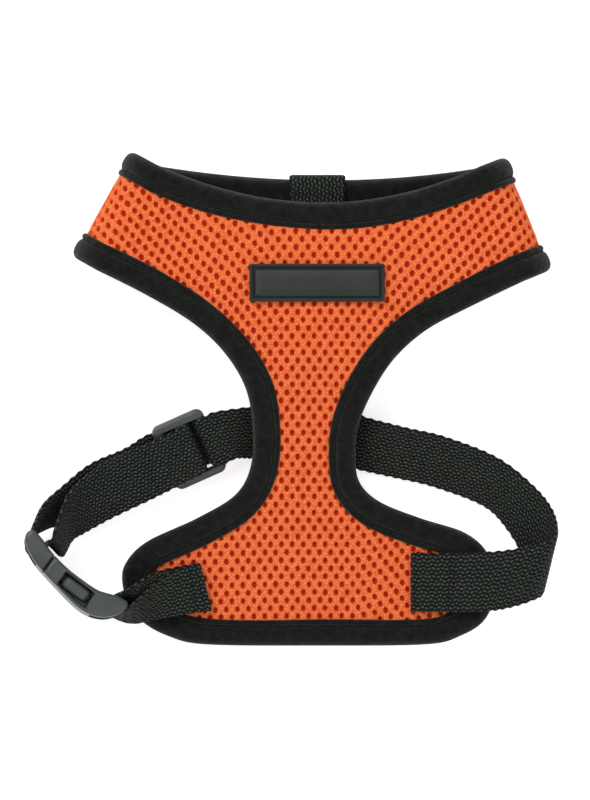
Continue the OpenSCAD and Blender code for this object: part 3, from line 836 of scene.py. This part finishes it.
strap = Tape(PATCH_TO_BACK + THROUGH_ADJUSTER + RUN_TO_PLUG + ROUND_PLUG_BAR
             + RETURN_TO_ADJUSTER + ROUND_ADJUSTER_BAR)
under_bar = strap.nearest(adj(1, 0, -4.3))
run_middle = strap.nearest((-60.5, -26.5, 6))
return_middle = strap.nearest((-62.0, -29.5, 9))

girth = strap.piece("girth_webbing", 0, under_bar)
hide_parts("girth_strap", "adjuster_weave")
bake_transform(girth)
run_near = strap.piece("running_webbing_at_adjuster", under_bar, run_middle)
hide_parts("buckle_run")
metres(adj(9, 0, 0))
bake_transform(run_near)
loop = strap.piece("buckle_loop_webbing", run_middle, return_middle)
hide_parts("plug_loop")
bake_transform(loop)
end_fold = strap.piece("sewn_end_webbing", return_middle)
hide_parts("adjuster_fold")
metres(adj(9, 0, 0))
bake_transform(end_fold)

tab_tape = Tape(TAB_OUTER + ROUND_SOCKET_BAR + TAB_INNER)
tab = tab_tape.piece("buckle_tab_webbing")
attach(tab, "root")
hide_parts("buckle_tab")


def flat_station(y, z, half=HALF):
    return (BACK_X - half, y, z), (BACK_X + half, y, z)


LOW = WEB_T / 2 + 0.2
OVER_BAND = BAND_Z + BIND_T / 2 + WEB_T / 2 + 0.15
NECK_TOP = BACK_NECK_MID[1] + WEB_T / 2 + 0.4
KEEPER_Y, RING_Z, RING_WIRE, RING_HALF, RING_LEG, RING_TILT = 27.0, 2.5, 1.5, 11.5, 4.0, 3.3
back_path = [
    (62, OVER_BAND), (68, OVER_BAND + 0.1), (NECK_TOP - 2.2, OVER_BAND - 0.1),
    (NECK_TOP - 0.3, OVER_BAND - 1.6), (NECK_TOP, BAND_Z), (NECK_TOP - 0.3, LOW + 1.2),
    (NECK_TOP - 2.2, LOW), (60, LOW), (38, LOW), (36, LOW + 0.3), (34, LOW + 1.7),
    (32.4, 4.9), (30.6, 5.75), (28, 5.8), (18, 5.8), (8, 5.7), (5.4, 4.4), (3, LOW + 0.5),
    (0, LOW), (-12, LOW), (-21.2, LOW), (-23.2, LOW + 0.8), (-23.6, 2.7), (-22.6, 4.4),
    (-20, 4.7), (-10, 4.6), (-1, 4.6), (1.2, 4.3), (2.6, 3.2),
]
back = Tape([flat_station(y, z) for y, z in back_path]).piece("back_strip_webbing")
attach(back, "root")
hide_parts("back_strip")

keeper_path = [(30.4, 4.2), (29, 4.45), (27, 4.5), (25.2, 3.6), (24.9, 2.4), (25.4, 1.1),
               (27, 0.55), (28.4, 0.8), (29.6, 2.0), (30.4, 3.3)]
keeper = Tape([flat_station(y, z, 9.0) for y, z in keeper_path]).piece("keeper_webbing", thick=0.9)
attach(keeper, "root")
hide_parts("d_ring_keeper")


# ---- sewn patches
def row_of_stitches(a, b, up, pitch=1.9):
    """Stitches in a straight row from a to b, in the cloth whose normal is up."""
    a, b = np.array(a, float), np.array(b, float)
    count = max(int(np.linalg.norm(b - a) / pitch), 1)
    along = unit(b - a)
    return [(a + (b - a) * (k + 0.5) / count, along, unit(up), pitch * 0.74) for k in range(count)]


def on_tape(tape, s, share, lift):
    """A point on a tape's face, with the face's normal."""
    i = int(np.argmin(np.abs(tape.s - s)))
    n = tape.n[i] * (1 if tape.n[i][2] >= 0 else -1)
    return tape.e[i] + (tape.f[i] - tape.e[i]) * share + n * lift, n


def across_tape(tape, s, lift, low=0.07, high=0.93):
    a, n = on_tape(tape, s, low, lift)
    b, _ = on_tape(tape, s, high, lift)
    return row_of_stitches(a, b, n)


FACE = WEB_T / 2 + 0.1
stitches("right_patch_thread", "right_patch_stitching",
         across_tape(strap, 1.6, FACE) + across_tape(strap, 13.5, FACE)
         + across_tape(strap, 15.2, FACE))
stitches("left_patch_thread", "left_patch_stitching",
         across_tape(tab_tape, 1.8, FACE) + across_tape(tab_tape, 4.6, FACE))
box_y, box_z, box_wide, box_tall = 67.2, OVER_BAND + FACE, 8, 4
stitches("back_strip_thread", "back_strip_stitching", sum((
    row_of_stitches((BACK_X + x0 * box_wide, box_y + y0 * box_tall, box_z),
                    (BACK_X + x1 * box_wide, box_y + y1 * box_tall, box_z), (0, 0, 1))
    for x0, y0, x1, y1 in ((-1, -1, 1, -1), (-1, 1, 1, 1), (-1, -1, -1, 1), (1, -1, 1, 1))), []))


# ---- badge
def rounded_ring(half_x, half_y, radius, steps=8):
    """Counter-clockwise outline of a rectangle with round corners."""
    out = []
    for quarter, (sx, sy) in enumerate(((1, 1), (-1, 1), (-1, -1), (1, -1))):
        for k in range(steps + 1):
            a = math.pi / 2 * (quarter + k / steps)
            out.append((sx * (half_x - radius) + radius * math.cos(a),
                        sy * (half_y - radius) + radius * math.sin(a)))
    return np.array(out)


def badge():
    low, high = corner("badge", 0), corner("badge", 1)
    centre, half = (low + high)[:2] / 2, (high - low)[:2] / 2
    thick = high[2] - low[2]
    section = [(0.0, 0.0), (0.0, thick - 0.5), (0.1, thick - 0.15), (0.3, thick), (0.6, thick),
               (0.8, thick - 0.15), (0.95, thick - 1.1), (1.2, thick - 1.2), (1.45, thick - 1.1),
               (2.0, thick - 0.35), (2.5, thick - 0.22), (5.0, thick - 0.2)]
    rings = []
    for inset, z in section:
        flat = rounded_ring(half[0] - inset, half[1] - inset, max(0.9 - inset, 0.2))
        rings.append(np.column_stack([flat + centre, np.full(len(flat), z)]))
    verts = np.concatenate(rings)
    floor = front_height(verts[:, 0], verts[:, 1]) + MESH_T / 2 - 0.15
    verts[:, 2] = floor + verts[:, 2] * (thick + 0.2) / thick
    obj = new_object("badge_moulding", verts, prism_faces(len(rings), len(rings[0])), BADGE,
                     crease=50)
    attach(obj, "root")
    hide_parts("badge")


badge()


# ---- leash ring
def tube(path, radius, sides=20):
    """Closed round wire along a closed path."""
    p = np.array(path)
    run = unit(np.roll(p, -1, 0) - np.roll(p, 1, 0))
    flat_n = np.array([0, 0, 1.0])
    side = unit(np.cross(run, flat_n))
    up = np.cross(side, run)
    a = np.linspace(0, 2 * math.pi, sides, endpoint=False)
    verts = (p[:, None, :] + radius * (np.cos(a)[None, :, None] * side[:, None, :]
                                       + np.sin(a)[None, :, None] * up[:, None, :]))
    return verts.reshape(-1, 3), grid_faces(len(p), sides, closed_rows=True)


def leash_ring():
    bend = 1.6
    arc = [math.radians(a) for a in np.linspace(0, 180, 49)]
    path = [(RING_HALF * math.cos(a), -RING_LEG - RING_HALF * math.sin(a)) for a in arc]
    left_bend = [(-RING_HALF + bend - bend * math.cos(t), -bend + bend * math.sin(t))
                 for t in np.linspace(0, math.pi / 2, 9)]
    path = path + left_bend + [(-x, y) for x, y in reversed(left_bend)]
    tilt = math.radians(RING_TILT)
    points = evenly(np.array([
        (BACK_X + x, KEEPER_Y + y * math.cos(tilt), RING_Z + y * math.sin(tilt))
        for x, y in path + path[:1]]), 0.7)[:-1]
    verts, faces = tube(points, RING_WIRE)
    obj = new_object("leash_ring_wire", verts, faces, METAL)
    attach(obj, "leash_ring")
    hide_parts("d_ring")


leash_ring()


# ---- moulded plastic
PROFILE = [
    (30.4, 2.8), (30.1, 4.3), (28.8, 4.9), (25, 4.2), (21.7, 3), (18.5, 2.1), (12.8, 1.9),
    (6.5, 2.1), (-0.7, 3.2), (-6.2, 5), (-10.2, 5.9), (-11.7, 5.3), (-12.3, 3.5), (-11.3, 1.3),
    (-8.4, -0.9), (-4.4, -2.7), (-0.4, -3.8), (7.3, -5.3), (11.7, -6.1), (16.2, -6.7),
    (20, -6.6), (23.5, -5.7), (26.4, -4.1), (28.6, -1.8), (29.9, 0.6), (30.4, 2.8),
]
BUCKLE_HALF, SLOT_HALF, WINDOW_Z = 14.0, HALF + 0.8, 8.4
WINDOW_X, WINDOW_Y, TONGUE_Y = (6.6, 19.0), (-4.6, 0.6), (-2.9, 0.3)
# Rounding of the buckle's rims, half the gap where its halves part, and a length past its ends
RIM, PARTING, FAR = 1.35, 0.12, 40
# Rounding of a rim that stays sharp
SHARP = 0.001


def between(outline, x0, x1):
    """The part of a closed outline between two places in x, without its points near a cut."""
    for at, keep in ((x0, 1), (x1, -1)):
        kept = []
        for a, b in zip(outline, np.roll(outline, -1, axis=0)):
            if keep * (a[0] - at) >= 1.2:
                kept.append(a)
            if (a[0] - at) * (b[0] - at) < 0:
                kept.append(a + (b - a) * (at - a[0]) / (b[0] - a[0]))
        outline = np.array(kept)
    return outline


def shrunk(outline, d):
    """An anticlockwise outline moved inwards by d."""
    before, after = np.roll(outline, 1, axis=0), np.roll(outline, -1, axis=0)
    n1 = unit(outline - before)[:, ::-1] * (-1, 1)
    n2 = unit(after - outline)[:, ::-1] * (-1, 1)
    return outline + d * (n1 + n2) / np.maximum(1 + (n1 * n2).sum(1, keepdims=True), 0.35)


def slab(outline, low, high, soft):
    """Vertices and faces of an outline's prism whose two rims are rounded by a radius."""
    bend = [(soft * (1 - math.sin(a)), soft * (1 - math.cos(a)))
            for a in np.linspace(0, math.pi / 2, 6)]
    levels = [(d, low + z) for d, z in bend] + [(d, high - z) for d, z in reversed(bend)]
    verts = np.concatenate([
        np.column_stack([shrunk(outline, d), np.full(len(outline), z)]) for d, z in levels])
    return verts, prism_faces(len(levels), len(outline))


def box(x, y, z, soft=SHARP):
    corners = np.array([(x[0], y[0]), (x[1], y[0]), (x[1], y[1]), (x[0], y[1])], float)
    return slab(corners, z[0], z[1], soft)


def carved(solid, holes, extras=()):
    """One mesh from a solid, less some holes, with extras joined on."""
    def as_object(shape):
        mesh = bpy.data.meshes.new("raw")
        verts = np.asarray(shape[0])
        faces = shape[1] if volume(verts, shape[1]) > 0 else [f[::-1] for f in shape[1]]
        mesh.from_pydata(verts.tolist(), [], [list(map(int, f)) for f in faces])
        mesh.update()
        obj = bpy.data.objects.new("raw", mesh)
        bpy.context.scene.collection.objects.link(obj)
        return obj

    body = as_object(solid)
    tools = [(h, "DIFFERENCE") for h in holes] + [(e, "UNION") for e in extras]
    for shape, way in tools:
        tool = as_object(shape)
        mod = body.modifiers.new("cut", "BOOLEAN")
        mod.operation, mod.solver, mod.object = way, "MANIFOLD", tool
        bpy.context.view_layer.update()
        mesh = bpy.data.meshes.new_from_object(
            body.evaluated_get(bpy.context.evaluated_depsgraph_get()))
        body.modifiers.clear()
        body.data = mesh
        bpy.data.objects.remove(tool)
    verts = np.array([tuple(v.co) for v in body.data.vertices])
    faces = [list(f.vertices) for f in body.data.polygons]
    bpy.data.objects.remove(body)
    if not len(faces):
        raise SystemExit("a cut left nothing of a moulding")
    return verts, faces


def moulded(name, node, body, place, shape):
    """A plastic piece from vertices and faces in its own frame."""
    verts, faces = shape
    obj = new_object(name, [place(*v) for v in verts], faces, PLASTIC, crease=38)
    for face in obj.data.polygons:
        face.use_smooth = face.area < FLAT_AREA
    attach(obj, body)
    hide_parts(node)


def rod(x, y, radius, half, sides=28):
    a = np.linspace(0, 2 * math.pi, sides, endpoint=False)
    ring = np.column_stack([x + radius * np.cos(a), y + radius * np.sin(a)])
    return slab(ring, -half, half, SHARP)


def funnel(outline, side):
    """Sunk field of the buckle's face, with sloping walls."""
    rings = [(0.8, BUCKLE_HALF - 2.2), (-0.75, BUCKLE_HALF + 2.0)]
    verts = np.concatenate([
        np.column_stack([shrunk(outline, d), np.full(len(outline), side * z)]) for d, z in rings])
    return verts, prism_faces(len(rings), len(outline))


def side_release_buckle():
    profile = through(PROFILE, 4)[:-1]
    socket = between(profile, PARTING, FAR)
    plug = between(profile, -FAR, -PARTING)
    slot_z = (-SLOT_HALF, SLOT_HALF)
    cavity = (TONGUE_Y[0] - 0.3, TONGUE_Y[1] + 0.3)
    pocket = np.array([(6.3, -4.6), (10, -5.0), (15, -5.6), (19.2, -5.7), (19.6, -5.3),
                       (18.1, 0.4), (17.6, 0.8), (12.8, 0.9), (6.8, 1.1), (6.3, 0.8)])
    moulded("buckle_socket_moulding", "buckle_socket", "root", buckle, carved(
        slab(socket, -BUCKLE_HALF, BUCKLE_HALF, RIM),
        [box((21.6, 45), (-12, 20), slot_z), box((-2, 6.9), cavity, (-11.4, 11.4)),
         box((-2, 18.3), cavity, (-WINDOW_Z, WINDOW_Z)),
         box(WINDOW_X, WINDOW_Y, (WINDOW_Z, 20)), box(WINDOW_X, WINDOW_Y, (-20, -WINDOW_Z)),
         funnel(pocket, 1), funnel(pocket, -1)],
        [rod(*SOCKET_BAR, BAR_R, SLOT_HALF + 1)]))
    moulded("buckle_plug_moulding", "buckle_plug", "plug", buckle, carved(
        slab(plug, -BUCKLE_HALF, BUCKLE_HALF, RIM), [box((-FAR, -3.4), (-12, 20), slot_z)],
        [rod(*PLUG_BAR, BAR_R, SLOT_HALF + 1), box((-1, 15), TONGUE_Y, (-2.2, 2.2), 0.5)]))
    for side, name in ((1, "upper"), (-1, "lower")):
        outline = rounded_ring(5.4, 2.2, 1.75, 6) + (12.7, -2.0)
        verts, faces = slab(outline, WINDOW_Z - 1.6, BUCKLE_HALF + 0.1, 1.5)
        rise = np.clip((verts[:, 2] - WINDOW_Z) / 5.7, 0, 1)
        verts[:, 2] -= 0.05 * (verts[:, 0] - 12.8) ** 2 * rise
        arm = box((0.3, 18.2), TONGUE_Y, (6.7, 8.9), 0.4)
        verts, faces = carved(arm, [], [(verts, faces)])
        verts = np.array(verts, float).reshape(-1, 3)
        verts[:, 2] *= side
        moulded("latch_button_" + name, "latch_arm_" + name, "latch_" + name, buckle,
                (verts, faces))


def slide_adjuster():
    outline = rounded_ring(9.5, 12.5, 2.6, 7)
    shape = carved(slab(outline, -1.6, 1.6, 0.95), [
        slab(rounded_ring(2.5, 9.9, 0.5, 3) + (side * 4.0, 0), -4, 4, SHARP) for side in (-1, 1)])
    moulded("adjuster_moulding", "adjuster", "slider", adj, shape)


side_release_buckle()
slide_adjuster()


# ---- set, lights and camera
def studio():
    bpy.ops.mesh.primitive_plane_add(size=6, location=(0, 0, -0.0002))
    floor = bpy.context.object
    floor.name = "floor"
    white = bpy.data.materials.new("floor_white")
    white.use_nodes = True
    base = white.node_tree.nodes["Principled BSDF"]
    base.inputs["Base Color"].default_value = (0.6, 0.6, 0.6, 1)
    base.inputs["Roughness"].default_value = 0.9
    base.inputs["Emission Color"].default_value = (1, 1, 1, 1)
    base.inputs["Emission Strength"].default_value = FLOOR_GLOW
    floor.data.materials.append(white)

    world = bpy.data.worlds.new("studio")
    world.use_nodes = True
    world.node_tree.nodes["Background"].inputs[0].default_value = (1, 1, 1, 1)
    world.node_tree.nodes["Background"].inputs[1].default_value = SKY_GLOW
    scene = bpy.context.scene
    scene.world = world
    scene.view_settings.view_transform = "Standard"

    for name, place, size, power in (
        ("key", (-0.45, 0.55, 0.9), 0.7, 8), ("fill", (0.6, -0.1, 0.8), 0.9, 2.5),
        ("front", (-0.1, -0.6, 0.7), 0.7, 1.5),
    ):
        lamp = bpy.data.lights.new(name, "AREA")
        lamp.energy, lamp.size = power, size
        holder = bpy.data.objects.new(name, lamp)
        holder.location = place
        holder.rotation_mode = "QUATERNION"
        holder.rotation_quaternion = (-Vector(place)).to_track_quat("-Z", "Y")
        scene.collection.objects.link(holder)


def camera():
    """Straight above the harness, framing 276 mm by 203 mm at 12 mm above the floor."""
    height, tall, level = 3.0, 0.2759, 0.012
    cam = bpy.data.cameras.new("camera")
    cam.sensor_width = 36
    cam.lens = cam.sensor_width * height / tall
    holder = bpy.data.objects.new("camera", cam)
    holder.location = (0.0009, 0, height + level)
    bpy.context.scene.collection.objects.link(holder)
    bpy.context.scene.camera = holder


studio()
camera()
